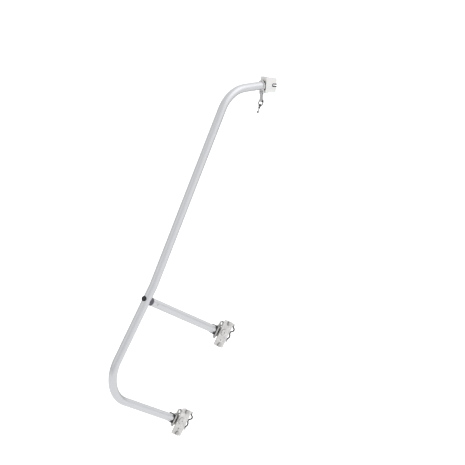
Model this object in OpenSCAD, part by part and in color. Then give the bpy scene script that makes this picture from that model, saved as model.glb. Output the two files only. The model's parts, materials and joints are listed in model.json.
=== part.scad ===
// Stand-off ladder stabilizer: a bent tube with two arms, each ending in a swivelling rail clamp,
// and a tilting end block with a tethered lock pin at the top.
//
// Rail frame: the lower part of the main tube runs along +Z, both arms along +X,
// and Y is square to the plane they share. All parts are drawn there and then leaned back,
// so that +Z of the finished part is straight up when it is in use on a leaning ladder.

/* [Tube frame] */
// Outer diameter of all tubes
tube_d = 25.4; // [22:0.1:30]
// Wall thickness of all tubes
tube_wall = 1.6; // [1.2:0.1:2.5]
// Centre line radius of every bend
bend_r = 107; // [80:1:125]
// From the main tube's axis to the end of each arm
arm_reach = 336; // [280:1:420]
// Distance between the two arms
arm_pitch = 304.8; // [280:0.1:400]
// Height of the sideways bend above the lower arm
kink_height = 352; // [350:1:450]
// Sideways bend of the upper tube
kink_angle = 6; // [2:0.5:10]
// From the sideways bend to the corner of the top bend
upper_len = 626; // [400:1:700]
// Top bend, from the upper tube to the top arm
top_bend = 60; // [50:1:70]
// Turn of the top bend about the upper tube's axis
top_turn = -7; // [-12:1:12]
// From the corner of the top bend to the end of the tube
top_len = 132; // [110:1:200]
// Lean of the lower tube away from upright, in use
lean = 37; // [15:1:45]

/* [Strut joint] */
// From the main tube's axis to the strut's cut end
strut_start = 20; // [18:1:24]
// Where the strut's rivets are, from the main tube's axis
rivet_x = 40; // [34:1:42]

/* [Clamp] */
// Swivel axis of the clamp, from the end of the arm
pin_x = 20; // [20:0.5:22]
// Width of the outer cheek
cheek_w = 44; // [42:1:50]
// Height of the outer cheek
cheek_h = 86; // [84:1:100]
// Thickness of the outer cheek
cheek_t = 4; // [3:0.5:5]
// Gap between the outer cheek and the inner finger
jaw_gap = 32; // [30:1:36]
// Distance of each clamp screw from the clamp's middle
screw_z = 37; // [36:1:38]
// Wire diameter of the keeper
keeper_d = 4.5; // [3:0.5:5]
// Reach of the keeper's upper wave
wave_1 = 12; // [10:0.5:14]
// Reach of the keeper's lower wave
wave_2 = 6; // [5:0.5:8]

/* [End block] */
// Height of the block's collar
block_h = 50; // [46:1:56]
// Thickness of the block
block_t = 26; // [24:0.5:30]
// Length of the collar
collar_l = 12.5; // [11:0.5:15]
// Length of the tongue
tongue_l = 31; // [28:1:36]
// Tilt of the block against the top arm, as stored
block_tilt = 7.5; // [0:0.5:10]

/* [Tether] */
// Width of the webbing strap
strap_w = 12; // [10:0.5:14]
// Length of the strap between its two loops
strap_l = 20; // [16:1:30]
// Swing of the ring and pin out of plumb, as stored
pin_swing = 24; // [0:1:30]

/* [Hidden] */
$fn = 48;
SIDES = ["lower", "upper"];
ENDS = ["top", "bottom"];
CLAMP_PARTS = ["plug", "yoke", "yoke_bolt", "yoke_nut", "pivot_pin", "pin_washers", "pin_cap",
    "carrier", "outer_cheek", "cheek_bolt", "cheek_nut", "finger_pad", "back_pad", "keeper"];
SCREW_PARTS = ["screw", "screw_pad"];

eps = 0.01;
seam = 0.1;
bead_l = 0.8;
bead_t = 0.04;
rivet_hole_r = 1.7;
rivet_in = 16;
fit = 0.05;
tube_r = tube_d / 2;
bore_r = tube_r - tube_wall;
stem_r = bore_r - fit;
kink_cut = bend_r * tan(kink_angle / 2);
top_cut = bend_r * tan(top_bend / 2);
bolt_r = 4;
bolt_hole_r = bolt_r + 0.1;

// Each step of a run is [straight length, turn, plane of the turn, radius of the turn].
TUBE_RUN = [
    [arm_reach - bend_r, 90, 0, bend_r],
    [kink_height - bend_r - kink_cut, kink_angle, 90, bend_r],
    [upper_len - kink_cut - top_cut, top_bend, top_turn, bend_r],
    [top_len - top_cut, 0, 0, bend_r]];

// Directions at the top, worked out from the two upper bends.
up_dir = [0, sin(kink_angle), cos(kink_angle)];
side_dir = [cos(top_turn), sin(top_turn) * cos(kink_angle), -sin(top_turn) * sin(kink_angle)];
arm_dir = cos(top_bend) * up_dir + sin(top_bend) * side_dir;
down_dir = cos(top_bend) * side_dir - sin(top_bend) * up_dir;
cross_dir = cross(arm_dir, down_dir);
tube_end = [0, 0, kink_height] + upper_len * up_dir + top_len * arm_dir;

// Clamp
grip_x = 46;
yoke_base = 7;
plug_flange = 2;
plug_size = 28;
yoke_w = 28;
yoke_h = 29;
ear_t = 4;
ear_r = 11;
ear_z = yoke_h / 2 - ear_t;
pin_r = 4;
barrel_r = 9;
barrel_h = 2 * ear_z - 0.6;
cheek_x = pin_x - 7;
cheek_y = -jaw_gap / 2;
block_x = pin_x + 3;
block_len = 9;
mouth_x = block_x + block_len;
finger_t = 5;
finger_end = mouth_x + 32;
pad_t = 3;
cheek_bolt_x = pin_x + 7.5;
cheek_bolt_z = 4;
screw_x = pin_x + 15;
screw_r = 4;
screw_head_h = 5.3;
hex_r = 13 / 2 / cos(30);
screw_in = 6.3;
screw_pad_t = 2.5;
hinge_x = cheek_x + cheek_w + 4.5;
hinge_y = cheek_y - cheek_t / 2;
knuckle_r = 3.9;
knuckle_h = 5.5;
keeper_r = keeper_d / 2;
keeper_top = 36;
keeper_lead = 0.8;
angle_1 = 65;
angle_2 = 40;
turn_1 = 5;
turn_2 = 7;

// Straight part of a wave that reaches h, turns by a and has bend radius r.
function wave_side(h, a, r) = (h - 2 * r * (1 - cos(a))) / sin(a);
// Length that such a wave takes up along the wire's base line.
function wave_span(h, a, r) = 4 * r * sin(a) + 2 * wave_side(h, a, r) * cos(a);
function wave_steps(lead, h, a, r) = [
    [lead, a, 0, r],
    [wave_side(h, a, r), 2 * a, 180, r],
    [wave_side(h, a, r), a, 0, r]];
KEEPER_RUN = concat(
    wave_steps(knuckle_h + keeper_lead, wave_1, angle_1, turn_1),
    wave_steps(0, wave_2, angle_2, turn_2),
    [[knuckle_h + keeper_lead, 0, 0, 1]]);
keeper_span = wave_span(wave_1, angle_1, turn_1) + wave_span(wave_2, angle_2, turn_2) + 2 * keeper_lead;

// End block
flange_t = 2.5;
face_gap = 3;
tang_w = 10;
tang_r = 9;
block_pin_r = 3;
block_pin_s = flange_t + face_gap + 11;
block_back = -11;
slot_l = 18;
slot_r = 5;
clip_r = 3;

// Tether
hanger_t = 2;
hanger_in = 1;
hanger_drop = 24;
hanger_bar = 2.4;
web_t = 1.3;
loop_r = 2.9;
ring_wire = 1.5;
ring_half = 8.5;
ring_side = 4.4;
ring_turn = 2.3;
ring_h = ring_turn + ring_side + ring_half;
shank_l = 14;

function to_row(p) = [
    cos(lean) * (p.x - arm_reach - grip_x) + sin(lean) * p.z,
    p.y,
    -sin(lean) * (p.x - arm_reach - grip_x) + cos(lean) * p.z];
hang_point = to_row(tube_end - (hanger_in + hanger_t / 2) * arm_dir
    + (hanger_drop - hanger_bar / 2) * down_dir);
hang_turn = atan2(to_row(cross_dir).y, to_row(cross_dir).x - to_row([0, 0, 0]).x) - 90;
ring_point = [0, 0, -strap_l - 2 * loop_r];

// The D-ring's wire, from the middle of its straight bar all the way round, a seam short at both ends.
RING_RUN = [
    [ring_half - ring_turn - seam, 90, 0, ring_turn],
    [ring_side, 180, 0, ring_half],
    [ring_side, 90, 0, ring_turn],
    [ring_half - ring_turn - seam, 0, 0, 1]];

// Placing

module in_row() {
    rotate([0, lean, 0])
        translate([-arm_reach - grip_x, 0, 0])
            children();
}

module at_clamp(i) {
    in_row()
        translate([arm_reach, 0, i * arm_pitch])
            children();
}

// The top tube end's own frame: +Z out of the tube, +X down, square to the tube.
module at_top() {
    in_row()
        multmatrix([
            [down_dir.x, cross_dir.x, arm_dir.x, tube_end.x],
            [down_dir.y, cross_dir.y, arm_dir.y, tube_end.y],
            [down_dir.z, cross_dir.z, arm_dir.z, tube_end.z],
            [0, 0, 0, 1]])
            children();
}

module at_block() {
    at_top()
        translate([0, 0, block_pin_s])
            rotate([0, block_tilt, 0])
                children();
}

module at_hang() {
    translate(hang_point)
        rotate([0, 0, hang_turn])
            children();
}

module at_ring() {
    at_hang()
        translate(ring_point)
            rotate([0, pin_swing, 0])
                children();
}

// Shared shapes

// Section of a bar, or of a tube where hole is more than 0.
module section(r, hole) {
    difference() {
        circle(r);
        if (hole > 0)
            circle(hole);
    }
}

// A bend that starts along +Z at the origin and turns towards +X, a seam short at both ends.
module bend(turn, radius, r, hole) {
    seam_turn = seam / radius * 180 / PI;
    translate([radius, 0, 0])
        mirror([1, 0, 0])
            rotate([90, 0, 0])
                rotate([0, 0, seam_turn])
                    rotate_extrude(angle = turn - 2 * seam_turn)
                        translate([radius, 0])
                            section(r, hole);
}

// A short bead, a hair thicker than the bar, that joins a straight to a bend.
module bead(r, hole) {
    translate([0, 0, -bead_l / 2])
        linear_extrude(bead_l)
            section(r + bead_t, hole - bead_t);
}

module after_bend(turn, radius) {
    translate([radius * (1 - cos(turn)), 0, radius * sin(turn)])
        rotate([0, turn, 0])
            children();
}

// A bar or tube along a run of straights and bends, starting along +Z.
module bar_run(steps, r, hole = 0, i = 0) {
    if (i < len(steps)) {
        length = steps[i][0];
        turn = steps[i][1];
        from = i == 0 ? 0 : seam;
        to = turn == 0 ? length : length - seam;
        if (to > from)
            translate([0, 0, from])
                linear_extrude(to - from)
                    section(r, hole);
        translate([0, 0, length])
            rotate([0, 0, steps[i][2]])
                if (turn > 0) {
                    if (length > 0)
                        bead(r, hole);
                    bend(turn, steps[i][3], r, hole);
                    after_bend(turn, steps[i][3])
                        rotate([0, 0, -steps[i][2]]) {
                            bead(r, hole);
                            bar_run(steps, r, hole, i + 1);
                        }
                }
    }
}

// Cylinder along +X from x0 to x1.
module x_rod(x0, x1, r) {
    translate([x0, 0, 0])
        rotate([0, 90, 0])
            cylinder(h = x1 - x0, r = r);
}

// Cylinder along +Y from y0 to y1.
module y_rod(y0, y1, r) {
    translate([0, y1, 0])
        rotate([90, 0, 0])
            cylinder(h = y1 - y0, r = r);
}

// Hexagonal prism along +X from x0 to x1.
module x_hex(x0, x1, r) {
    translate([x0, 0, 0])
        rotate([0, 90, 0])
            cylinder(h = x1 - x0, r = r, $fn = 6);
}

module y_hex(y0, y1, r) {
    translate([0, y1, 0])
        rotate([90, 0, 0])
            cylinder(h = y1 - y0, r = r, $fn = 6);
}

// Flat plate with round corners, w wide and h high, in the XY plane.
module round_plate(w, h, r, t) {
    linear_extrude(t)
        union() {
            square([w - 2 * r, h], center = true);
            square([w, h - 2 * r], center = true);
            for (x = [-1, 1])
                for (y = [-1, 1])
                    translate([x * (w / 2 - r), y * (h / 2 - r)])
                        circle(r);
        }
}

// Tube frame

module main_tube() {
    color("gainsboro")
        in_row()
            difference() {
                translate([arm_reach, 0, 0])
                    rotate([0, -90, 0])
                        bar_run(TUBE_RUN, tube_r, bore_r);
                translate([0, 0, arm_pitch])
                    x_rod(-tube_r - 1, tube_r + 1, bolt_hole_r);
                multmatrix([
                    [down_dir.x, cross_dir.x, arm_dir.x, tube_end.x],
                    [down_dir.y, cross_dir.y, arm_dir.y, tube_end.y],
                    [down_dir.z, cross_dir.z, arm_dir.z, tube_end.z],
                    [0, 0, 0, 1]])
                    translate([0, 0, -rivet_in])
                        y_rod(0, tube_r + 1, rivet_hole_r);
            }
}

module at_strut() {
    in_row()
        translate([0, 0, arm_pitch])
            children();
}

module strut_tube() {
    color("gainsboro")
        at_strut()
            difference() {
                x_rod(strut_start, arm_reach, tube_r);
                x_rod(strut_start - 1, arm_reach + 1, bore_r);
                translate([rivet_x, 0, 0])
                    y_rod(-tube_r - 1, tube_r + 1, rivet_hole_r);
            }
}

module main_tube_cutter() {
    translate([0, 0, -30])
        cylinder(h = 60, r = tube_r + fit);
}

module strut_saddle() {
    color("slategray")
        at_strut()
            difference() {
                union() {
                    x_rod(4, strut_start - 0.02, tube_r);
                    x_rod(strut_start - 1, 50, stem_r);
                }
                main_tube_cutter();
                x_rod(0, 60, bolt_hole_r);
                x_hex(43.4, 51, hex_r + 0.1);
                translate([rivet_x, 0, 0])
                    y_rod(-tube_r, tube_r, rivet_hole_r);
            }
}

module strut_washer() {
    color("dimgray")
        at_strut()
            difference() {
                x_rod(-14.4, -9, 8);
                main_tube_cutter();
                x_rod(-20, 0, bolt_hole_r);
            }
}

module strut_bolt() {
    color("dimgray")
        at_strut()
            difference() {
                union() {
                    x_rod(-15, 50, bolt_r);
                    intersection() {
                        x_rod(-18.8, -14.42, 6.8);
                        translate([-9.2, 0, 0])
                            sphere(9.6);
                    }
                }
                x_hex(-20, -16.4, 2.9);
            }
}

module strut_nut() {
    color("silver")
        at_strut()
            difference() {
                x_hex(43.5, 49.9, hex_r);
                x_rod(40, 52, bolt_r + fit);
            }
}

// A blind rivet along +Y, its head's underside at y0 and its shank going in to y1.
module rivet(y0, y1) {
    y_rod(y0, y1 + 0.5, 1.6);
    intersection() {
        y_rod(y1 + eps, y1 + 1.3, 3.2);
        translate([0, y1 - 3.6, 0])
            sphere(4.9);
    }
}

module strut_rivets() {
    color("silver")
        at_strut()
            translate([rivet_x, 0, 0])
                for (turn = [0, 180])
                    rotate([turn, 0, 0])
                        rivet(5, tube_r);
}

// Clamp, on the arm's side

module plug(i) {
    color([0.06, 0.06, 0.07])
        at_clamp(i)
            difference() {
                union() {
                    x_rod(-26, 1, stem_r);
                    translate([0.02, 0, 0])
                        rotate([0, 90, 0])
                            round_plate(plug_size, plug_size, 3, plug_flange - 0.04);
                }
                x_rod(-30, 5, bolt_hole_r);
                x_hex(-27, -19.4, hex_r + 0.1);
            }
}

module yoke(i) {
    color("silver")
        at_clamp(i)
            difference() {
                union() {
                    translate([plug_flange, 0, 0])
                        rotate([0, 90, 0])
                            round_plate(yoke_h, yoke_w, 2.5, yoke_base);
                    for (z = [ear_z, -ear_z - ear_t])
                        translate([0, 0, z]) {
                            translate([plug_flange + yoke_base - 1, -ear_r, 0])
                                cube([pin_x - plug_flange - yoke_base + 1, 2 * ear_r, ear_t]);
                            translate([pin_x, 0, 0])
                                cylinder(h = ear_t, r = ear_r);
                        }
                }
                translate([pin_x, 0, -yoke_h])
                    cylinder(h = 2 * yoke_h, r = pin_r + fit);
                x_rod(0, 20, bolt_hole_r);
                translate([plug_flange + yoke_base - 4.2, 0, 0])
                    rotate([0, 90, 0])
                        cylinder(h = 4.3, r1 = bolt_hole_r, r2 = 8.5);
            }
}

module yoke_bolt(i) {
    color("silver")
        at_clamp(i)
            difference() {
                union() {
                    x_rod(-25, plug_flange + yoke_base - 3, bolt_r);
                    translate([plug_flange + yoke_base - 4.1, 0, 0])
                        rotate([0, 90, 0])
                            cylinder(h = 4, r1 = bolt_r, r2 = 8);
                }
                x_hex(plug_flange + yoke_base - 2.6, 20, 2.9);
            }
}

module yoke_nut(i) {
    color("silver")
        at_clamp(i)
            difference() {
                x_hex(-26, -19.5, hex_r);
                x_rod(-30, 0, bolt_r + fit);
            }
}

module pivot_pin(i) {
    color("silver")
        at_clamp(i)
            translate([pin_x, 0, 0])
                difference() {
                    union() {
                        translate([0, 0, -17.5])
                            cylinder(h = 39.5, r = pin_r);
                        translate([0, 0, -23.5])
                            cylinder(h = 7, r = 2.5);
                        translate([0, 0, 16.5])
                            cylinder(h = 2, r = 5.6);
                        translate([5, 0, 26.5])
                            rotate([90, 0, 0])
                                rotate_extrude()
                                    translate([7, 0])
                                        circle(2.7);
                    }
                    translate([5, 0, 26.5])
                        y_rod(-9, 9, 4.1);
                }
}

module pin_washers(i) {
    color("silver")
        at_clamp(i)
            translate([pin_x, 0, 0])
                for (z = [ear_z + ear_t + 0.02, -ear_z - ear_t - 1.62])
                    translate([0, 0, z])
                        difference() {
                            cylinder(h = 1.6, r = 8);
                            translate([0, 0, -1])
                                cylinder(h = 4, r = pin_r + fit);
                        }
}

module pin_cap(i) {
    color("silver")
        at_clamp(i)
            translate([pin_x, 0, 0])
                difference() {
                    union() {
                        translate([0, 0, -20.8])
                            sphere(4.8);
                        translate([0, 0, -21])
                            cylinder(h = 3.4, r = 4.8);
                    }
                    translate([0, 0, -23.6])
                        cylinder(h = 10, r = 2.5 + fit);
                    translate([0, 0, -17.6])
                        cylinder(h = 5, r = 6);
                }
}

// Clamp, on the ladder's side

module carrier(i) {
    color("silver")
        at_clamp(i)
            difference() {
                union() {
                    translate([pin_x, 0, -barrel_h / 2])
                        cylinder(h = barrel_h, r = barrel_r);
                    translate([block_x, cheek_y, -barrel_h / 2])
                        cube([block_len, jaw_gap + finger_t, barrel_h]);
                    translate([block_x, -cheek_y, -barrel_h / 2])
                        cube([finger_end - block_x, finger_t, barrel_h]);
                }
                translate([pin_x, 0, -20])
                    cylinder(h = 40, r = pin_r + fit);
                translate([cheek_bolt_x, 0, cheek_bolt_z])
                    y_rod(cheek_y - 1, jaw_gap, 3.1);
            }
}

module knuckle_at(z) {
    translate([hinge_x, hinge_y, z])
        cylinder(h = knuckle_h, r = knuckle_r);
    translate([cheek_x + cheek_w - 2, hinge_y - cheek_t / 2, z])
        cube([hinge_x - cheek_x - cheek_w + 2, cheek_t, knuckle_h]);
}

module outer_cheek(i) {
    color("silver")
        at_clamp(i)
            difference() {
                union() {
                    translate([cheek_x + cheek_w / 2, cheek_y, 0])
                        rotate([90, 0, 0])
                            round_plate(cheek_w, cheek_h, 4, cheek_t);
                    knuckle_at(keeper_top);
                    knuckle_at(keeper_top - keeper_span - knuckle_h);
                }
                translate([hinge_x, hinge_y, -cheek_h])
                    cylinder(h = 2 * cheek_h, r = keeper_r + fit);
                translate([cheek_bolt_x, 0, cheek_bolt_z])
                    y_rod(-jaw_gap, 0, 3.1);
                for (z = [screw_z, -screw_z])
                    translate([screw_x, 0, z])
                        y_rod(-jaw_gap, 0, screw_r + fit);
                translate([pin_x + 12, 0, -21.5])
                    y_rod(-jaw_gap, 0, 2);
            }
}

module cheek_bolt(i) {
    color("silver")
        at_clamp(i)
            translate([cheek_bolt_x, 0, cheek_bolt_z])
                difference() {
                    union() {
                        y_rod(cheek_y - cheek_t - 1, jaw_gap / 2 + 11, 3);
                        y_rod(cheek_y - cheek_t - 2.2, cheek_y - cheek_t - 0.02, 9.8);
                        intersection() {
                            y_rod(cheek_y - cheek_t - 5, cheek_y - cheek_t - 2, 6);
                            translate([0, cheek_y - cheek_t + 3, 0])
                                sphere(8);
                        }
                    }
                    y_hex(cheek_y - cheek_t - 9, cheek_y - cheek_t - 2.6, 2.4);
                }
}

module cheek_nut(i) {
    color("silver")
        at_clamp(i)
            translate([cheek_bolt_x, 0, cheek_bolt_z])
                difference() {
                    y_hex(jaw_gap / 2 + finger_t + 0.02, jaw_gap / 2 + finger_t + 5, 5 / cos(30));
                    y_rod(0, 60, 3 + fit);
                }
}

module finger_pad(i) {
    color([0.08, 0.08, 0.08])
        at_clamp(i)
            translate([mouth_x + pad_t, -cheek_y - pad_t, -barrel_h / 2 + 0.5])
                cube([finger_end - mouth_x - pad_t - 1, pad_t - 0.02, barrel_h - 1]);
}

module back_pad(i) {
    color([0.08, 0.08, 0.08])
        at_clamp(i)
            translate([mouth_x + 0.02, cheek_y + 0.5, -barrel_h / 2 + 0.5])
                cube([pad_t - 0.3, jaw_gap - 1, barrel_h - 1]);
}

module screw(i, end) {
    color("silver")
        at_clamp(i)
            translate([screw_x, cheek_y - cheek_t, end * screw_z]) {
                y_hex(-screw_head_h - 0.02, -0.02, hex_r);
                y_rod(-1, cheek_t + screw_in, screw_r);
            }
}

module screw_pad(i, end) {
    color([0.08, 0.08, 0.08])
        at_clamp(i)
            translate([screw_x, cheek_y + screw_in + 0.02, end * screw_z])
                y_rod(0, screw_pad_t, 6);
}

module keeper(i) {
    color([0.05, 0.05, 0.05])
        at_clamp(i)
            translate([hinge_x, hinge_y, keeper_top + knuckle_h])
                rotate([0, 180, 0])
                    mirror([1, 0, 0])
                        bar_run(KEEPER_RUN, keeper_r);
}

// Top end

module top_plug() {
    color([0.06, 0.06, 0.07])
        at_top()
            difference() {
                union() {
                    translate([0, 0, -24])
                        cylinder(h = 25, r = stem_r);
                    translate([0, 0, 0.02])
                        round_plate(block_t + 1, block_t, 3, flange_t);
                    translate([-tang_r, -tang_w / 2, 1])
                        cube([2 * tang_r, tang_w, block_pin_s - 1]);
                    translate([0, 0, block_pin_s])
                        y_rod(-tang_w / 2, tang_w / 2, tang_r);
                }
                translate([0, 0, block_pin_s])
                    y_rod(-tang_w, tang_w, block_pin_r + fit);
                translate([0, 0, -rivet_in])
                    y_rod(0, 20, rivet_hole_r);
            }
}

module top_rivet() {
    color("silver")
        at_top()
            translate([0, 0, -rivet_in])
                rivet(5, tube_r);
}

// A ring pressed onto the tube, with a slotted tail that the strap is sewn through.
module hanger_plate() {
    slot_h = 6;
    color("white")
        at_top()
            translate([0, 0, -hanger_in - hanger_t])
                difference() {
                    union() {
                        cylinder(h = hanger_t, r = tube_r + 3);
                        translate([0, -(strap_w + 6) / 2, 0])
                            cube([hanger_drop, strap_w + 6, hanger_t]);
                    }
                    translate([0, 0, -1])
                        cylinder(h = hanger_t + 2, r = tube_r + 0.02);
                    translate([hanger_drop - hanger_bar - slot_h, -(strap_w + 1.6) / 2, -1])
                        cube([slot_h, strap_w + 1.6, hanger_t + 2]);
                }
}

// The block: a collar and a slightly lower tongue, with a slot for the plug's tang
// and an open slot across its free end.
module end_block() {
    color("white")
        at_block()
            difference() {
                rotate([90, 0, 0])
                    translate([0, 0, -block_t / 2])
                        block_side();
                translate([0, 0, block_back - 1])
                    translate([-tang_r - 3, -tang_w / 2 - 0.4, 0])
                        cube([2 * tang_r + 6, tang_w + 0.8, 1 - block_back + tang_r + 1]);
                y_rod(-block_t, block_t, block_pin_r + 0.02);
                rod_slot(slot_r + 0.02, 2 * block_t);
            }
}

module block_side() {
    tongue_h = block_h - 6;
    linear_extrude(block_t)
        union() {
            rounded_rect(-block_h / 2, block_back, block_h / 2, block_back + collar_l, 2);
            rounded_rect(-tongue_h / 2, block_back + 1, tongue_h / 2,
                block_back + collar_l + tongue_l, 5);
        }
}

// Rectangle from (x0, y0) to (x1, y1) with corner radius r.
module rounded_rect(x0, y0, x1, y1, r) {
    translate([x0 + r, y0])
        square([x1 - x0 - 2 * r, y1 - y0]);
    translate([x0, y0 + r])
        square([x1 - x0, y1 - y0 - 2 * r]);
    for (x = [x0 + r, x1 - r])
        for (y = [y0 + r, y1 - r])
            translate([x, y])
                circle(r);
}

// A slot along the block, open at its free end, with a round inner end.
module rod_slot(r, t) {
    slot_z = block_back + collar_l + tongue_l - slot_l + slot_r;
    translate([0, 0, slot_z]) {
        y_rod(-t / 2, t / 2, r);
        translate([-r, -t / 2, 0])
            cube([2 * r, t, slot_l]);
    }
}

module block_pin() {
    color("white")
        at_block()
            y_rod(-block_t / 2, block_t / 2, block_pin_r);
}

// A snap-in clip for a round rod: a liner with a round bore and a narrower mouth.
module rod_clip() {
    slot_z = block_back + collar_l + tongue_l - slot_l + slot_r;
    color([0.05, 0.05, 0.05])
        at_block()
            difference() {
                intersection() {
                    rod_slot(slot_r, block_t + 1.6);
                    translate([-slot_r, -block_t, slot_z - slot_r])
                        cube([2 * slot_r, 2 * block_t, slot_l + 0.8]);
                }
                translate([0, 0, slot_z])
                    y_rod(-block_t, block_t, clip_r);
                translate([-1.6, -block_t, slot_z])
                    cube([3.2, 2 * block_t, slot_l + 5]);
            }
}

// Tether: a sewn strap, a ring and a lock pin

module strap() {
    color("gray")
        at_hang()
            difference() {
                union() {
                    y_rod(-strap_w / 2, strap_w / 2, loop_r + web_t);
                    translate([-web_t, -strap_w / 2, -strap_l - loop_r])
                        cube([2 * web_t, strap_w, strap_l]);
                    translate(ring_point)
                        y_rod(-strap_w / 2, strap_w / 2, loop_r + web_t);
                }
                y_rod(-strap_w, strap_w, loop_r);
                translate(ring_point)
                    y_rod(-strap_w, strap_w, loop_r);
            }
}

// A D-shaped ring: its straight bar is in the strap's loop, along Y.
module tether_ring() {
    color([0.05, 0.05, 0.05])
        at_ring()
            rotate([-90, 0, 0])
                rotate([0, 0, 90]) {
                    bead(ring_wire, 0);
                    translate([0, 0, seam])
                        bar_run(RING_RUN, ring_wire);
                }
}

module lock_pin() {
    color([0.05, 0.05, 0.05])
        at_ring()
            translate([0, 0, -ring_h])
                difference() {
                    union() {
                        rotate([90, 0, 0])
                            rotate_extrude()
                                translate([4.2, 0])
                                    circle(1.5);
                        translate([0, 0, -4.2 - shank_l])
                            cylinder(h = shank_l, r = 2.2);
                    }
                    y_rod(-5, 5, 2.9);
                }
}

module lock_pin_tip() {
    color([0.05, 0.05, 0.05])
        at_ring()
            translate([0, 0, -ring_h - 4.2 - shank_l - 2.6])
                difference() {
                    sphere(3.2);
                    translate([-4, -4, 2.58])
                        cube([8, 8, 4]);
                }
}

main_tube();
strut_tube();
strut_saddle();
strut_washer();
strut_bolt();
strut_nut();
strut_rivets();
top_plug();
top_rivet();
hanger_plate();
end_block();
block_pin();
rod_clip();
strap();
tether_ring();
lock_pin();
lock_pin_tip();
for (i = [0, 1]) {
    plug(i);
    yoke(i);
    yoke_bolt(i);
    yoke_nut(i);
    pivot_pin(i);
    pin_washers(i);
    pin_cap(i);
    carrier(i);
    outer_cheek(i);
    cheek_bolt(i);
    cheek_nut(i);
    finger_pad(i);
    back_pad(i);
    keeper(i);
    for (j = [0, 1]) {
        screw(i, 1 - 2 * j);
        screw_pad(i, 1 - 2 * j);
    }
}
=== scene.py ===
# %% [markdown]
# # A stand-off ladder stabilizer
# The object is one side of a stabilizer for a leaning ladder: a bent aluminium tube with two arms,
# a steel clamp on each arm, a white plastic block at the top and a short tether with a lock pin.
# The engineering model gives every node its exact shape and place. This script keeps those places
# and adds what an engineering model lacks: rounded edges, drawn tube, woven webbing, rolled
# threads, and a material for each finish.

# %% Load the frame
import json
import math
import bmesh
import bpy
from mathutils import Matrix, Vector


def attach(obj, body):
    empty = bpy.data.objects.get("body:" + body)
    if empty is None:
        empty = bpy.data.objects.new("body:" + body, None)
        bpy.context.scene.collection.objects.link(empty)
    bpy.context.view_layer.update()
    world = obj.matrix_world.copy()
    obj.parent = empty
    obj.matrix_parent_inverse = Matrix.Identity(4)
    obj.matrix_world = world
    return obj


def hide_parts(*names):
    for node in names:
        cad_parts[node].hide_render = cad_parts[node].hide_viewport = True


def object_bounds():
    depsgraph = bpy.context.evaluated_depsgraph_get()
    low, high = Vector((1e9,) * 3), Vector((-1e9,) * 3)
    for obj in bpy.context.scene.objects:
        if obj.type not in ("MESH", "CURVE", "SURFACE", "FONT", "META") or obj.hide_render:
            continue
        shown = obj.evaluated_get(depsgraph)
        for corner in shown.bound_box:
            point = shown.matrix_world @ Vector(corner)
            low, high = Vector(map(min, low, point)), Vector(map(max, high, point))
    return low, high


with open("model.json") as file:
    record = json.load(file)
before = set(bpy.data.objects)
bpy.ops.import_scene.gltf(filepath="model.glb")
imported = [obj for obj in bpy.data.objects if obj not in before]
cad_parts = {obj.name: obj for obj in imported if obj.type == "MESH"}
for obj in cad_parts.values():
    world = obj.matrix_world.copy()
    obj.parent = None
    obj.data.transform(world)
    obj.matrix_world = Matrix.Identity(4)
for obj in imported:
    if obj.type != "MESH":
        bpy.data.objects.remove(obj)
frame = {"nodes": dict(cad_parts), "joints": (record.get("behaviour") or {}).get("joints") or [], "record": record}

cad_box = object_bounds()
MM = 0.001
nodes = frame["nodes"]
joints = {j["name"]: j for j in frame["joints"]}

# %% [markdown]
# ## Directions
# The lower tube leans with the ladder, and the clamps' swivel joints run along it, so its
# direction is read from one of them. The arms are square to it. A matrix made from these
# directions lets every later piece be drawn in millimetres in the maker's own plane, with +Z up
# the tube and +X along the arms, and then be leaned back into place.

# %% Rail frame
ARM_REACH = 336
PIN_X = 20
rail_up = Vector(joints["lower_clamp_swivel"]["axis"]).normalized()
sideways = Vector((0, 1, 0))
arm_out = sideways.cross(rail_up).normalized()
lower_pin = Vector(joints["lower_clamp_swivel"]["pos_m"])
arm_pitch = (Vector(joints["upper_clamp_swivel"]["pos_m"]) - lower_pin).length / MM
tube_foot = lower_pin - arm_out * (ARM_REACH + PIN_X) * MM


def frame_of(origin, x, y, z):
    """Matrix from millimetres in a local frame to metres in the row frame."""
    turn = Matrix((x, y, z)).transposed().to_4x4()
    return Matrix.Translation(origin) @ turn @ Matrix.Scale(MM, 4)


rail = frame_of(tube_foot, arm_out, sideways, rail_up)
print("lean", round(math.degrees(rail_up.angle((0, 0, 1))), 2), "arm pitch", round(arm_pitch, 2))

# %% [markdown]
# ## The camera
# A long lens a few metres away keeps the tubes nearly parallel. It looks down by about 25 degrees,
# and from about 45 degrees round from square-on. Azimuth 0 looks along +Y. The aim point is
# measured from the foot of the main tube, so it follows the part.

# %% Camera
AZIMUTH = -44.2
ELEVATION = 25.2
DISTANCE = 4.2328
LENS = 111.6
SENSOR = 36
AIM_RIGHT = 0.3841
AIM_UP = 0.4727


def look_back(azimuth, elevation):
    """Unit vector from the aim point back to the camera."""
    a, e = math.radians(azimuth), math.radians(elevation)
    return Vector((math.sin(a) * math.cos(e), -math.cos(a) * math.cos(e), math.sin(e)))


to_camera = look_back(AZIMUTH, ELEVATION)
view_right = Vector((0, 0, 1)).cross(to_camera).normalized()
view_up = to_camera.cross(view_right)
aim = tube_foot + view_right * AIM_RIGHT + view_up * AIM_UP


def link(piece):
    bpy.context.scene.collection.objects.link(piece)
    return piece


lens = bpy.data.cameras.new("camera")
lens.lens = LENS
lens.sensor_width = SENSOR
lens.clip_end = 50
camera = link(bpy.data.objects.new("camera", lens))
camera.location = aim + to_camera * DISTANCE
camera.rotation_mode = "QUATERNION"
camera.rotation_quaternion = (-to_camera).to_track_quat("-Z", "Y")
bpy.context.scene.camera = camera
print("aim", [round(v, 4) for v in aim])

# %% [markdown]
# ## Node helpers
# A material is a small graph. These helpers place a node, wire its inputs in one call and build a
# shared group. An input that is given a socket is linked, and any other value is set on the
# socket.

# %% Node helpers


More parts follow.
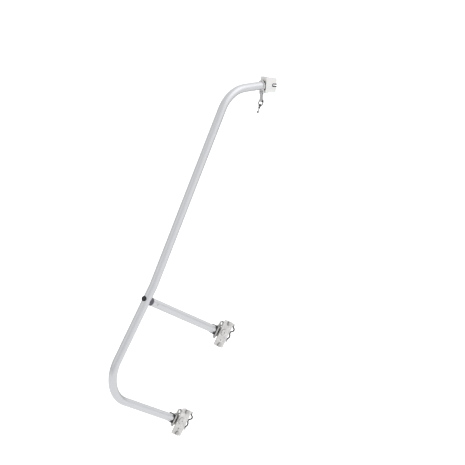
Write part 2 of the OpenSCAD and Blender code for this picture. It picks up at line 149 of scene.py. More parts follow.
def add(tree, kind, inputs=None, **settings):
    """A new node; its settings come before its inputs, since they can change its sockets."""
    made = tree.nodes.new(kind if kind.startswith("NodeGroup") else "ShaderNode" + kind)
    for name, value in settings.items():
        setattr(made, name, value)
    for name, value in (inputs or {}).items():
        socket = made.inputs[name]
        if isinstance(value, bpy.types.NodeSocket):
            tree.links.new(value, socket)
        else:
            socket.default_value = value
    return made


def maths(tree, operation, a, b=0.0, clamp=False):
    """The result of one sum, product or other operation."""
    return add(tree, "Math", {0: a, 1: b}, operation=operation, use_clamp=clamp).outputs[0]


def blend_of(tree, factor, low, high):
    """A colour between low and high."""
    return add(tree, "Mix", {0: factor, 6: low, 7: high}, data_type="RGBA").outputs[2]


def spread(tree, value, low, high, from_low=0.0, from_high=1.0):
    """value, from its own range to low..high."""
    ends = {"From Min": from_low, "From Max": from_high, "To Min": low, "To Max": high}
    return add(tree, "MapRange", {"Value": value, **ends}).outputs["Result"]


def new_group(name, inputs, outputs):
    """An empty shader group, with its input and output sockets. An input of None is a vector."""
    tree = bpy.data.node_groups.new(name, "ShaderNodeTree")
    for label, value in inputs.items():
        kind = "NodeSocketVector" if value is None else "NodeSocketFloat"
        socket = tree.interface.new_socket(label, in_out="INPUT", socket_type=kind)
        if value is not None:
            socket.default_value = value
    for label in outputs:
        tree.interface.new_socket(label, in_out="OUTPUT", socket_type="NodeSocketFloat")
    print("shader group:", name, "->", ", ".join(outputs))
    return tree, add(tree, "NodeGroupInput").outputs, add(tree, "NodeGroupOutput").inputs


def placed(tree, group, inputs):
    """The outputs of a group's copy in a tree."""
    return add(tree, "Group", inputs, node_tree=group).outputs


# %% [markdown]
# ## Shared effects
# Five effects come back in many finishes: worn edges, handling, grain, painted shade in the creases,
# and the lines of drawn tube. Each could be written out in every material, but a group that is built
# once keeps them alike, and each finish then gives it its own scale and amount.
#
# ### Edge wear
# Edges are rubbed bright or pale, because they are what touches other things. The rounded normal
# of a Bevel node differs from the true normal only near an edge, so the difference is an edge
# mask. Noise breaks it up, since real wear is never an even line.

# %% Wear group
wear, given, out = new_group("edge wear", {"Width": 0.0006, "Amount": 1.0}, ["Mask"])
rounded = add(wear, "Bevel", {"Radius": given["Width"]}, samples=4)
true_normal = add(wear, "NewGeometry")
both = {0: rounded.outputs[0], 1: true_normal.outputs["Normal"]}
facing = add(wear, "VectorMath", both, operation="DOT_PRODUCT")
edge = spread(wear, facing.outputs["Value"], 1.0, 0.0, 0.80, 0.995)
place_of = add(wear, "TexCoord").outputs["Object"]
chips = add(wear, "TexNoise", {"Vector": place_of, "Scale": 420.0, "Detail": 3.0})
chipped = spread(wear, chips.outputs["Fac"], 0.15, 1.0, 0.42, 0.62)
worn_edge = maths(wear, "MULTIPLY", edge, chipped)
wear.links.new(maths(wear, "MULTIPLY", worn_edge, given["Amount"], True), out["Mask"])

# %% [markdown]
# ### Handling
# Hands and weather leave broad soft patches, a little duller than the rest. Large noise, gathered
# round a middle value, gives them with a contrast that each finish sets.

# %% Handling group
handling, given, out = new_group("handling", {"Scale": 14.0, "Contrast": 1.0}, ["Tone"])
place_of = add(handling, "TexCoord").outputs["Object"]
broad = add(handling, "TexNoise",
            {"Vector": place_of, "Scale": given["Scale"], "Detail": 5.0, "Roughness": 0.62})
centred = maths(handling, "SUBTRACT", broad.outputs["Fac"], 0.5)
scaled = maths(handling, "MULTIPLY", centred, given["Contrast"])
handling.links.new(maths(handling, "ADD", scaled, 0.5, True), out["Tone"])

# %% [markdown]
# ### Grain
# Cast, moulded and blasted surfaces are never smooth up close. Fine noise with small pits is used
# as bump, because modelled grain would need millions of faces.

# %% Grain group
grain, given, out = new_group("grain", {"Scale": 1500.0}, ["Height", "Tone"])
place_of = add(grain, "TexCoord").outputs["Object"]
fine = add(grain, "TexNoise",
           {"Vector": place_of, "Scale": given["Scale"], "Detail": 4.0, "Roughness": 0.6})
pits = add(grain, "TexVoronoi", {"Vector": place_of, "Scale": given["Scale"]})
shallow = maths(grain, "MULTIPLY", pits.outputs["Distance"], 0.5)
grain.links.new(maths(grain, "ADD", fine.outputs["Fac"], shallow), out["Height"])
grain.links.new(fine.outputs["Fac"], out["Tone"])

# %% [markdown]
# ### Crease shade
# Creases are painted darker, as painted shade where less light reaches. Ambient occlusion finds those
# places on any mesh, and noise makes the painted shade uneven.

# %% Crease shade group
# painted shade: a mask that darkens the creases which ambient occlusion finds
crease_shade, given, out = new_group("crease_shade", {"Reach": 0.004, "Amount": 1.0}, ["Mask"])
hidden = add(crease_shade, "AmbientOcclusion", {"Distance": given["Reach"]}, samples=4)
deep = spread(crease_shade, hidden.outputs["AO"], 1.0, 0.0, 0.35, 0.95)
place_of = add(crease_shade, "TexCoord").outputs["Object"]
patch = add(crease_shade, "TexNoise", {"Vector": place_of, "Scale": 260.0, "Detail": 3.0})
uneven = spread(crease_shade, patch.outputs["Fac"], 0.5, 1.0, 0.35, 0.65)
uneven_crease_shade = maths(crease_shade, "MULTIPLY", deep, uneven)
crease_shade.links.new(maths(crease_shade, "MULTIPLY", uneven_crease_shade, given["Amount"], True), out["Mask"])

# %% [markdown]
# ### Drawing lines
# A die leaves fine lines along a drawn tube. Noise that is stretched far more along the tube than
# round it looks the same, and the UV map says which way is along.

# %% Drawing group
drawing, given, out = new_group("drawing lines", {"Run": None}, ["Height", "Tone"])
LINE_STRETCH = (90.0, 1.6, 1.0)
BAND_STRETCH = (14.0, 0.8, 1.0)
narrow = add(drawing, "VectorMath", {0: given["Run"], 1: LINE_STRETCH}, operation="MULTIPLY")
lines = add(drawing, "TexNoise",
            {"Vector": narrow.outputs[0], "Scale": 1.0, "Detail": 6.0, "Roughness": 0.7})
drawing.links.new(lines.outputs["Fac"], out["Height"])
wide = add(drawing, "VectorMath", {0: given["Run"], 1: BAND_STRETCH}, operation="MULTIPLY")
bands = add(drawing, "TexNoise", {"Vector": wide.outputs[0], "Scale": 1.0, "Detail": 3.0})
drawing.links.new(bands.outputs["Fac"], out["Tone"])

# %% [markdown]
# ## Finishes
# Each finish starts from the same short function: a Principled shader whose constants are set on
# its own sockets. What changes over the surface, such as colour, roughness and bump, is then wired
# in.

# %% Finish helper


def new_finish(name, **constants):
    """A new material, its node tree and its shader. The constants go on the shader's sockets."""
    finish = bpy.data.materials.new(name)
    finish.use_nodes = True
    shader = finish.node_tree.nodes["Principled BSDF"]
    for socket, value in constants.items():
        shader.inputs[socket.replace("_", " ")].default_value = value
    return finish, finish.node_tree, shader


def wire(tree, shader, colour, roughness, height, depth, strength):
    """Links what changes over the surface. depth is the bump's height in metres."""
    tree.links.new(colour, shader.inputs["Base Color"])
    tree.links.new(roughness, shader.inputs["Roughness"])
    bump = add(tree, "Bump", {"Height": height, "Distance": depth, "Strength": strength})
    tree.links.new(bump.outputs["Normal"], shader.inputs["Normal"])


def shade(red, green, blue):
    """An opaque colour, in linear light."""
    return (red, green, blue, 1.0)


finishes = {}


def keep(slot, finish):
    """Files a finish under the slot that it is for."""
    finishes[slot] = finish
    print("finish:", finish.name, "for", slot, "with", len(finish.node_tree.nodes), "nodes")

# %% [markdown]
# ### Tube
# Drawn aluminium tube with a satin clear finish. It is a bright metal, slightly blue, with very
# fine lines along its length and broad patches where it has been handled. The lines need a
# direction, so they are drawn in a UV map that runs round and along the tube.

# %% Tube finish
finish, tree, shader = new_finish("satin_tube", Metallic=1.0)
run = add(tree, "UVMap", uv_map="run").outputs["UV"]
lines = placed(tree, drawing, {"Run": run})
hands = placed(tree, handling, {"Scale": 9.0, "Contrast": 1.6})
patches = maths(tree, "ADD", maths(tree, "MULTIPLY", lines["Tone"], 0.5),
                maths(tree, "MULTIPLY", hands["Tone"], 0.5))
colour = blend_of(tree, patches, shade(0.69, 0.705, 0.73), shade(0.79, 0.80, 0.82))
roughness = spread(tree, patches, 0.24, 0.40, 0.3, 0.7)
wire(tree, shader, colour, roughness, lines["Height"], 0.00004, 0.35)
keep("tube", finish)

# %% [markdown]
# ### Zinc
# The clamp's plates and castings are blasted and zinc plated, so they are pale grey with a soft
# mottle. The bolts and pins are smoother and shinier. One function makes both, each with its own
# colours and scale of mottle.

# %% Zinc finishes


def zinc_finish(name, low, high, dull, bright, scale, depth):
    """Zinc between two colours; dull and bright are the roughness that goes with each."""
    finish, tree, shader = new_finish(name, Metallic=1.0)
    cells = add(tree, "TexCoord").outputs["Object"]
    crystals = add(tree, "TexVoronoi", {"Vector": cells, "Scale": scale})
    mottle = add(tree, "SeparateColor", {"Color": crystals.outputs["Color"]}).outputs[0]
    hands = placed(tree, handling, {"Scale": 60.0, "Contrast": 1.8})
    tone = maths(tree, "ADD", maths(tree, "MULTIPLY", mottle, 0.4),
                 maths(tree, "MULTIPLY", hands["Tone"], 0.6))
    rubbed = placed(tree, wear, {"Width": 0.0007, "Amount": 0.8})["Mask"]
    crease_shade_mask = placed(tree, crease_shade, {"Reach": 0.004, "Amount": 0.75})["Mask"]
    body = blend_of(tree, tone, low, high)
    worn = blend_of(tree, rubbed, body, shade(0.86, 0.86, 0.85))
    # painted shade: the creases are darkened towards near black
    shade_painted_zinc = blend_of(tree, crease_shade_mask, worn, shade(0.10, 0.095, 0.09))
    smooth = maths(tree, "SUBTRACT", spread(tree, tone, dull, bright),
                   maths(tree, "MULTIPLY", rubbed, 0.12))
    rough = maths(tree, "ADD", smooth, maths(tree, "MULTIPLY", crease_shade_mask, 0.3), True)
    fine = placed(tree, grain, {"Scale": 1400.0})
    wire(tree, shader, shade_painted_zinc, rough, fine["Height"], depth, 0.5)
    return finish


keep("zinc_plate", zinc_finish("zinc_plate", shade(0.60, 0.595, 0.585), shade(0.96, 0.95, 0.94),
                               dull=0.64, bright=0.44, scale=380.0, depth=0.00010))
keep("zinc", zinc_finish("bright_zinc", shade(0.44, 0.435, 0.43), shade(0.80, 0.795, 0.785),
                         dull=0.46, bright=0.28, scale=900.0, depth=0.00004))

# %% [markdown]
# ### Dark steel
# The strut bolt and its shaped washer are blackened steel. The blackening rubs off along the
# edges, where the bare steel shows.

# %% Dark steel finish
finish, tree, shader = new_finish("blackened_steel", Metallic=0.9)
hands = placed(tree, handling, {"Scale": 80.0, "Contrast": 1.6})
rubbed = placed(tree, wear, {"Width": 0.0006, "Amount": 0.7})["Mask"]
body = blend_of(tree, hands["Tone"], shade(0.035, 0.035, 0.04), shade(0.075, 0.075, 0.085))
worn = blend_of(tree, rubbed, body, shade(0.42, 0.42, 0.43))
fine = placed(tree, grain, {"Scale": 1800.0})
satin = spread(tree, hands["Tone"], 0.36, 0.55)
wire(tree, shader, worn, satin, fine["Height"], 0.00004, 0.4)
keep("dark_steel", finish)

# %% [markdown]
# ### Plastics and rubber
# The plugs and pads are moulded. One function covers them: a base colour that varies a little, the
# mould's fine grain as bump, pale scuffs along the edges and painted shade in the creases. The white
# block is smoother than the black plugs, and lets a little light in under its surface.

# %% Moulded finishes


def moulded_finish(name, low, high, scuff, gloss, scale, depth, **constants):
    """A moulded surface; gloss is its lowest roughness, scale and depth are its grain's."""
    finish, tree, shader = new_finish(name, **constants)
    hands = placed(tree, handling, {"Scale": 45.0, "Contrast": 1.7})
    rubbed = placed(tree, wear, {"Width": 0.0009, "Amount": 0.45})["Mask"]
    crease_shade_mask = placed(tree, crease_shade, {"Reach": 0.005, "Amount": 0.5})["Mask"]
    body = blend_of(tree, hands["Tone"], low, high)
    scuffed = blend_of(tree, rubbed, body, scuff)
    # painted shade: the creases are darkened towards dark grey
    shade_painted_moulding = blend_of(tree, crease_shade_mask, scuffed, shade(0.22, 0.21, 0.20))
    rough = maths(tree, "ADD", spread(tree, hands["Tone"], gloss, gloss + 0.16),
                  maths(tree, "MULTIPLY", crease_shade_mask, 0.2), True)
    fine = placed(tree, grain, {"Scale": scale})
    wire(tree, shader, shade_painted_moulding, rough, fine["Height"], depth, 0.4)
    return finish


keep("black_plastic", moulded_finish(
    "black_moulding", shade(0.010, 0.010, 0.012), shade(0.024, 0.024, 0.028),
    scuff=shade(0.10, 0.10, 0.10), gloss=0.38, scale=1500.0, depth=0.00007))
keep("saddle", moulded_finish(
    "grey_moulding", shade(0.085, 0.075, 0.10), shade(0.13, 0.115, 0.15),
    scuff=shade(0.30, 0.28, 0.32), gloss=0.42, scale=1300.0, depth=0.00007))
keep("rubber", moulded_finish(
    "rubber", shade(0.012, 0.012, 0.012), shade(0.030, 0.029, 0.028),
    scuff=shade(0.09, 0.088, 0.085), gloss=0.66, scale=900.0, depth=0.00012,
    Specular_IOR_Level=0.35))
keep("white_plastic", moulded_finish(
    "white_moulding", shade(0.87, 0.87, 0.86), shade(0.94, 0.94, 0.93),
    scuff=shade(0.97, 0.97, 0.96), gloss=0.30, scale=1100.0, depth=0.00003,
    Subsurface_Weight=0.12, Subsurface_Scale=0.002))

# %% [markdown]
# ### Dip coating
# The keeper, ring and lock pin are steel wire dipped in black vinyl. Dipping leaves a soft gloss
# and the slight orange peel of a coat that flowed before it set.

# %% Dip coating finish
finish, tree, shader = new_finish("dip_coating", Coat_Weight=0.35, Coat_Roughness=0.2)
hands = placed(tree, handling, {"Scale": 70.0, "Contrast": 1.5})
rubbed = placed(tree, wear, {"Width": 0.0006, "Amount": 0.4})["Mask"]
body = blend_of(tree, hands["Tone"], shade(0.008, 0.008, 0.009), shade(0.020, 0.020, 0.021))
scuffed = blend_of(tree, rubbed, body, shade(0.07, 0.07, 0.07))
flow = placed(tree, grain, {"Scale": 420.0})
soft_gloss = spread(tree, hands["Tone"], 0.26, 0.44)
wire(tree, shader, scuffed, soft_gloss, flow["Tone"], 0.00012, 0.35)
keep("black_coated", finish)

# %% [markdown]
# ### Webbing
# Polyester webbing is woven flat: warp cords run along it and weft cords cross under and over
# them. Each set of cords is a rounded ridge, drawn with a sine, and a checker picks which set is
# on top. The strap's UV map holds millimetres across and along it, so the pitch is the real one.

# %% Webbing finish
WARP_PITCH = 0.75
WEFT_PITCH = 0.9


def webbing_finish(name, low, high):
    """Cords coloured from low in their creases to high on their crests; the darker creases are painted shade."""
    finish, tree, shader = new_finish(name, Sheen_Weight=0.35, Sheen_Roughness=0.5)
    run = add(tree, "UVMap", uv_map="run").outputs["UV"]
    axes = add(tree, "SeparateXYZ", {"Vector": run}).outputs
    across = maths(tree, "DIVIDE", axes[0], WARP_PITCH)
    along = maths(tree, "DIVIDE", axes[1], WEFT_PITCH)
    warp = maths(tree, "ABSOLUTE", maths(tree, "SINE", maths(tree, "MULTIPLY", across, math.pi)))
    weft = maths(tree, "ABSOLUTE", maths(tree, "SINE", maths(tree, "MULTIPLY", along, math.pi)))
    turn = maths(tree, "ADD", maths(tree, "FLOOR", across), maths(tree, "FLOOR", along))
    over = maths(tree, "PINGPONG", turn, 1.0)
    ridge = maths(tree, "ADD", maths(tree, "MULTIPLY", warp, over),
                  maths(tree, "MULTIPLY", weft, maths(tree, "SUBTRACT", 1.0, over)))
    twist = add(tree, "TexNoise", {"Vector": run, "Scale": 5.0, "Detail": 4.0, "Roughness": 0.7})
    crease_shade_mask = placed(tree, crease_shade, {"Reach": 0.003, "Amount": 0.6})["Mask"]
    level = maths(tree, "MULTIPLY", ridge, spread(tree, twist.outputs["Fac"], 0.6, 1.25), True)
    # painted shade twice: darker between the cords, and near black in the creases that ambient occlusion finds
    cloth = blend_of(tree, crease_shade_mask, blend_of(tree, level, low, high), shade(0.05, 0.048, 0.045))
    wire(tree, shader, cloth, spread(tree, level, 0.95, 0.72), ridge, 0.00025, 0.8)
    return finish


# the first colour is painted shade in the weave's creases, the second the webbing's own grey
keep("webbing", webbing_finish("webbing", shade(0.34, 0.345, 0.35), shade(0.74, 0.75, 0.76)))
keep("thread", moulded_finish(
    "thread", shade(0.62, 0.63, 0.64), shade(0.80, 0.81, 0.82),
    scuff=shade(0.85, 0.85, 0.85), gloss=0.6, scale=2600.0, depth=0.0001))

# %% [markdown]
# ## Building helpers
# Tube, wire and strap are all one thing in code: a row of rings joined into a skin. A walk gives
# the stations for the rings, in the same terms a tube bender uses: go straight, then bend by an
# angle in a plane.

# %% Walk
BEND_STEP = 3


def walk(steps, start):
    """Stations (matrix, distance) along steps of (straight length, turn, plane, radius)."""
    here, distance = start.copy(), 0.0
    stations = [(here, distance)]
    for length, turn, plane, radius in steps:
        if length > 0:
            here = here @ Matrix.Translation((0, 0, length))
            distance += length
            stations.append((here, distance))
        count = round(turn / BEND_STEP)
        side = Matrix.Rotation(math.radians(plane), 4, "Z")
        bend = here @ side
        for i in range(1, count + 1):
            a = math.radians(turn * i / count)
            arc = Matrix.Translation((radius * (1 - math.cos(a)), 0, radius * math.sin(a)))
            here = bend @ arc @ Matrix.Rotation(a, 4, "Y") @ side.inverted()
            stations.append((here, distance + radius * a))
        distance = stations[-1][1]
    return stations


quarter = walk([(0, 90, 0, 100)], Matrix())
print("a quarter bend of radius 100 is", round(quarter[-1][1], 1), "mm long")


# %% [markdown]
# ### Skin
# The skin joins the rings with four-sided faces, and writes the UV map that runs round and along
# the piece. Turned parts are the same thing with rings round one axis, so the lathe is a short
# function on top of it.

# %% Rings and skin


def circle(radius, count=48):
    """Points of a round section."""
    return [(radius * math.cos(2 * math.pi * j / count), radius * math.sin(2 * math.pi * j / count))
            for j in range(count)]


def ring_at(station, section):
    """A flat section, placed at a station."""
    return [station @ Vector((x, y, 0)) for x, y in section]


def skin(rings, run, around=1.0, closed=False):
    """A mesh through the rings. run is each ring's distance along; open ends are capped."""
    made = bmesh.new()
    uv = made.loops.layers.uv.new("run")
    rows = [[made.verts.new(p) for p in ring] for ring in rings]
    count = len(rings[0])
    for i in range(len(rows) - (0 if closed else 1)):
        after = (i + 1) % len(rows)
        ends = (run[i], run[i + 1])
        for j in range(count):
            k = (j + 1) % count
            face = made.faces.new((rows[i][j], rows[i][k], rows[after][k], rows[after][j]))
            corners = ((j, 0), (j + 1, 0), (j + 1, 1), (j, 1))
            for loop, (turn, end) in zip(face.loops, corners):
                loop[uv].uv = (turn / count * around, ends[end])
    if not closed:
        made.faces.new(rows[0])
        made.faces.new(rows[-1])
    bmesh.ops.recalc_face_normals(made, faces=made.faces)
    return made


def lathe(profile, count=48):
    """A turned solid from (radius, height) points; both ends are closed."""
    rings = [[Vector((x, y, z)) for x, y in circle(r, count)] for r, z in profile]
    return skin(rings, [z * MM for r, z in profile])


tried = lathe([(2, 0), (2, 5)])
print("a turned pin 5 mm long has", len(tried.faces), "faces")
tried.free()


# %% [markdown]
# ### Pieces
# A mesh becomes a piece when it has a finish, a body to ride on and the engineering node whose
# place it takes. One function does all of that, so that no piece is left without a body.

# %% Pieces


def joined(*parts):
    """Several bmeshes as one mesh; each part is (bmesh, matrix, material index)."""
    whole = bmesh.new()
    whole.loops.layers.uv.new("run")
    for part, matrix, index in parts:
        for face in part.faces:
            face.material_index = index
        part.transform(matrix)
        passing = bpy.data.meshes.new("part")
        part.to_mesh(passing)
        part.free()
        whole.from_mesh(passing)
        bpy.data.meshes.remove(passing)
    return whole


def piece(name, made, body, slot, stands_for=(), looks=None, sharp=35):
    """A finished object in the row frame, riding on its body."""
    mesh = bpy.data.meshes.new(name)
    made.to_mesh(mesh)
    made.free()
    for polygon in mesh.polygons:
        polygon.use_smooth = True
    mesh.set_sharp_from_angle(angle=math.radians(sharp))
    for look in looks or [slot]:
        mesh.materials.append(finishes[look])
    thing = link(bpy.data.objects.new(name, mesh))
    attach(thing, body)
    if stands_for:
        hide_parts(*stands_for)
    print(name, "on", body, "with", len(mesh.polygons), "faces")
    return thing

# %% [markdown]
# ## The tubes
# The main tube is one length of 1 in tube, bent three times: up from the lower arm, slightly
# sideways above the strut, and over at the top. It could be a curve with a bevel, but a skin of
# rings gives the wall, the deburred rims and a clean UV map in one closed mesh. The holes are then
# drilled with Boolean cutters, as on the real tube.

# %% Tube sizes
TUBE_R = 12.7
BORE_R = 11.1
RIM = 0.35
TUBE_FACETS = 64
BEND_R = 107
KINK_HEIGHT = 352
KINK_ANGLE = 6
UPPER_LEN = 626
TOP_BEND = 60
TOP_TURN = -7
TOP_LEN = 132
STRUT_START = 20
STRUT_RIVET_X = 40
TOP_RIVET_IN = 16
RIVET_HOLE_R = 1.7
BOLT_HOLE_R = 4.1
CLEAR = 20
ONE_WALL = 5
kink_cut = BEND_R * math.tan(math.radians(KINK_ANGLE / 2))
top_cut = BEND_R * math.tan(math.radians(TOP_BEND / 2))
TUBE_RUN = [
    (ARM_REACH - BEND_R, 90, 0, BEND_R),
    (KINK_HEIGHT - BEND_R - kink_cut, KINK_ANGLE, 90, BEND_R),
    (UPPER_LEN - kink_cut - top_cut, TOP_BEND, TOP_TURN, BEND_R),
    (TOP_LEN - top_cut, 0, 0, BEND_R)]

print("main tube bends:", ", ".join(f"{turn} degrees" for _, turn, _, _ in TUBE_RUN if turn))

# %% [markdown]
# ### Tube wall
# One closed skin goes out along the outside of the tube and back along its bore, and the small
# steps at both ends are the deburred rims. Straights get extra rings, so that no face is very
# long.

# %% Tube mesh


def between(low, high, spacing):
    """Even steps between two distances, without the ends."""
    count = max(1, round((high - low) / spacing))
    return [low + (high - low) * i / count for i in range(1, count)]


def filled(stations, spacing=40):
    """Extra stations on the straights, so that no face is very long."""
    full = [stations[0]]
    for (m0, d0), (m1, d1) in zip(stations, stations[1:]):
        for d in between(d0, d1, spacing):
            full.append((m0 @ Matrix.Translation((0, 0, d - d0)), d))
        full.append((m1, d1))
    return full


def tube_skin(stations):
    """A closed tube wall: out along the outside, round the rim, back along the bore."""
    first, last = stations[0], stations[-1]

    def step(station, by):
        return (station[0] @ Matrix.Translation((0, 0, by)), station[1] + by)

    inner = stations[1:-1]
    out_way = [(first, TUBE_R - RIM), (step(first, RIM), TUBE_R)]
    out_way += [(s, TUBE_R) for s in inner] + [(step(last, -RIM), TUBE_R), (last, TUBE_R - RIM)]
    back_way = [(last, BORE_R + RIM), (step(last, -RIM), BORE_R)]
    back_way += [(s, BORE_R) for s in reversed(inner)]
    back_way += [(step(first, RIM), BORE_R), (first, BORE_R + RIM)]
    path = out_way + back_way
    rings = [ring_at(station[0], circle(radius, TUBE_FACETS)) for station, radius in path]
    run = [station[1] * MM for station, radius in path] + [0.0]
    return skin(rings, run, 2 * math.pi * TUBE_R * MM, closed=True)


def settle(thing):
    """Applies every modifier of a piece to its mesh."""
    graph = bpy.context.evaluated_depsgraph_get()
    final = bpy.data.meshes.new_from_object(thing.evaluated_get(graph))
    thing.modifiers.clear()
    thing.data = final


def drill(thing, matrix, radius, low, high):
    """Cuts a round hole along local Z from low to high, and leaves no modifier behind."""
    cutter_mesh = bpy.data.meshes.new("cutter")
    bit = lathe([(radius, low), (radius, high)], 32)
    bit.transform(matrix)
    bit.to_mesh(cutter_mesh)
    bit.free()
    cutter = link(bpy.data.objects.new("cutter", cutter_mesh))
    hole = thing.modifiers.new("hole", "BOOLEAN")
    hole.object = cutter
    hole.operation = "DIFFERENCE"
    hole.solver = "EXACT"
    settle(thing)
    bpy.data.objects.remove(cutter)


ALONG_X = Matrix.Rotation(math.radians(90), 4, "Y")
ALONG_Y = Matrix.Rotation(math.radians(-90), 4, "X")
arm_end = Matrix.Translation((ARM_REACH, 0, 0)) @ Matrix.Rotation(math.radians(-90), 4, "Y")
stations = walk(TUBE_RUN, arm_end)
tube_end = stations[-1][0] @ Matrix.Rotation(math.radians(TOP_TURN), 4, "Z")
made = tube_skin(filled(stations))
made.transform(rail)
main_tube = piece("drawn_main_tube", made, "frame", "tube", ["main_tube"])
bolt_axis = Matrix.Translation((0, 0, arm_pitch)) @ ALONG_X
drill(main_tube, rail @ bolt_axis, BOLT_HOLE_R, -CLEAR, CLEAR)
rivet_axis = tube_end @ Matrix.Translation((0, 0, -TOP_RIVET_IN)) @ ALONG_Y
drill(main_tube, rail @ rivet_axis, RIVET_HOLE_R, ONE_WALL, CLEAR)

strut_run = [(ARM_REACH - STRUT_START, 0, 0, 0)]
strut_base = Matrix.Translation((STRUT_START, 0, arm_pitch)) @ ALONG_X
made = tube_skin(filled(walk(strut_run, strut_base)))
made.transform(rail)
strut_tube = piece("drawn_strut_tube", made, "frame", "tube", ["strut_tube"])
strut_rivet_axis = Matrix.Translation((STRUT_RIVET_X, 0, arm_pitch)) @ ALONG_Y
drill(strut_tube, rail @ strut_rivet_axis, RIVET_HOLE_R, -CLEAR, CLEAR)
print("tube length", round(stations[-1][1], 1), "mm,", len(main_tube.data.polygons), "faces")

# %% [markdown]
# ## Frames for the clamps and the top
# Each clamp is drawn once, from the end of its arm, and placed twice. The top's frame is where the
# walk along the tube ended, with +Z out of the tube and +X down.

# %% Local frames
sides = {"lower": rail @ Matrix.Translation((ARM_REACH, 0, 0)),
         "upper": rail @ Matrix.Translation((ARM_REACH, 0, arm_pitch))}
BLOCK_PIN_S = 16.5
BLOCK_TILT = 7.5
top = rail @ tube_end
tilted = Matrix.Rotation(math.radians(BLOCK_TILT), 4, "Y")
block = top @ Matrix.Translation((0, 0, BLOCK_PIN_S)) @ tilted
miss = (block.translation - Vector(joints["block_tilt"]["pos_m"])).length
print("block pivot is", round(miss / MM, 3), "mm from its joint")

# %% [markdown]
# ## Clamp screws
# M8 hex screws press the ladder's rail against the inner finger. A hex head isn't a plain prism:
# its top is turned to a cone, which leaves a curved edge on each flat, and a thin round washer
# face is under it. The thread is a real helix, made by letting the radius follow the height and
# the angle.

# %% Screw mesh
HEX_FLATS = 6.5
HEX_CORNER = 7.4
HEAD_H = 5.3
THREAD_R = 3.98
THREAD_ROOT = 3.36
THREAD_PITCH = 1.25
SHANK = 10.3
FACETS = 48
POINT_R = 2.9
WASHER_R = 6.15
CREST = 0.12
FLANK = 0.22
TOP_SLOPE = 30


def hex_radius(a):
    """Distance to the side of a hexagon at angle a, with slightly blunt corners."""
    off = math.fmod(a, math.radians(60)) - math.radians(30)
    return min(HEX_FLATS / math.cos(off), HEX_CORNER)


def thread_radius(a, z):
    """A trapezoid thread: flat crest, sloping flank, flat root, sloping flank."""
    phase = (z / THREAD_PITCH - a / (2 * math.pi)) % 1.0
    flank = min(max((abs(phase - 0.5) - CREST) / FLANK, 0.0), 1.0)
    return THREAD_ROOT + (THREAD_R - THREAD_ROOT) * flank


def ring_of(radius, height):
    """A ring whose radius and height may both depend on the angle."""
    ring = []
    for j in range(FACETS):
        a = 2 * math.pi * j / FACETS
        r = radius(a) if callable(radius) else radius
        z = height(a) if callable(height) else height
        ring.append(Vector((r * math.cos(a), r * math.sin(a), z)))
    return ring


def hex_screw():
    """From the point up: thread, neck, washer face, hexagon, coned top and its shallow dish."""
    rings = [ring_of(POINT_R, -SHANK)]
    step = THREAD_PITCH / 8
    for i in range(1, int((SHANK - 0.4) / step)):
        z = -SHANK + i * step
        rings.append(ring_of(lambda a: min(thread_radius(a, z), POINT_R + 0.1 + i * step), z))
    rings += [ring_of(THREAD_ROOT, -0.35), ring_of(3.6, 0.02)]
    rings += [ring_of(WASHER_R - 0.25, 0.02), ring_of(WASHER_R, 0.12), ring_of(WASHER_R, 0.5)]
    rings += [ring_of(lambda a: hex_radius(a) - 0.15, 0.5), ring_of(hex_radius, 0.7)]
    slope = math.tan(math.radians(TOP_SLOPE))
    crown = HEX_FLATS - 0.35
    rings.append(ring_of(hex_radius, lambda a: HEAD_H - 0.1 - (hex_radius(a) - crown) * slope))
    rings += [ring_of(crown, HEAD_H - 0.08), ring_of(crown - 0.4, HEAD_H)]
    rings += [ring_of(r, HEAD_H - drop) for r, drop in ((3.2, 0.02), (2.8, 0.25), (0.4, 0.3))]
    return skin(rings, [i * MM for i in range(len(rings))])


print("hex head", 2 * HEX_FLATS, "mm across flats, thread", 2 * THREAD_R, "x", THREAD_PITCH)

# %% [markdown]
# ### Screw pads
# A bare screw would dent the ladder, so each has a rubber cap on its end. The cap could be a plain
# disc, but moulded rubber has a round rim and grooves that grip, and a turned profile gives both.

# %% Screw pads and placing
PAD_H = 2.5
GROOVE_FLOOR = 2.1
GROOVES = ((4.9, 4.2), (3.1, 2.4))


def thrust_pad():
    """A turned cap: back, round rim, face with two grooves, dimple."""
    profile = [(0.6, 0.02), (5.4, 0.02), (5.85, 0.25), (6.0, 0.7), (6.0, 1.9), (5.8, 2.3)]
    profile.append((5.4, PAD_H - 0.02))
    for outer, inner in GROOVES:
        profile += [(outer, PAD_H), (outer - 0.15, GROOVE_FLOOR)]
        profile += [(inner + 0.15, GROOVE_FLOOR), (inner, PAD_H)]
    return lathe(profile + [(1.4, PAD_H), (0.3, 2.35)])


SCREW_X = PIN_X + 15
SCREW_Z = 37
CHEEK_FACE = -20
SCREW_IN = 6.3
CHEEK_T = 4
HEAD_TURNS = {("lower", "top"): 8, ("lower", "bottom"): 41,
              ("upper", "top"): 23, ("upper", "bottom"): 2}
OUTWARD = Matrix.Rotation(math.radians(90), 4, "X")
for (side, end), turn in HEAD_TURNS.items():
    z = SCREW_Z if end == "top" else -SCREW_Z
    seat = sides[side] @ Matrix.Translation((SCREW_X, CHEEK_FACE, z)) @ OUTWARD
    made = hex_screw()
    made.transform(seat @ Matrix.Rotation(math.radians(turn), 4, "Z"))
    name = f"{side}_{end}_screw"
    piece(f"threaded_{name}", made, name, "zinc", [name])
    made = thrust_pad()
    inside = Matrix.Translation((SCREW_X, CHEEK_FACE + CHEEK_T + SCREW_IN, z)) @ ALONG_Y
    made.transform(sides[side] @ inside)
    piece(f"ribbed_{name}_pad", made, name, "rubber", [f"{name}_pad"])
print("screws and pads:", 2 * len(HEAD_TURNS))

# %% [markdown]
# ## Keepers
# A wavy wire is hinged on the cheek's free edge and swings over the ladder's rail. It is one bent
# wire with a dipped coat, so it is a walk with a round section and domed ends.

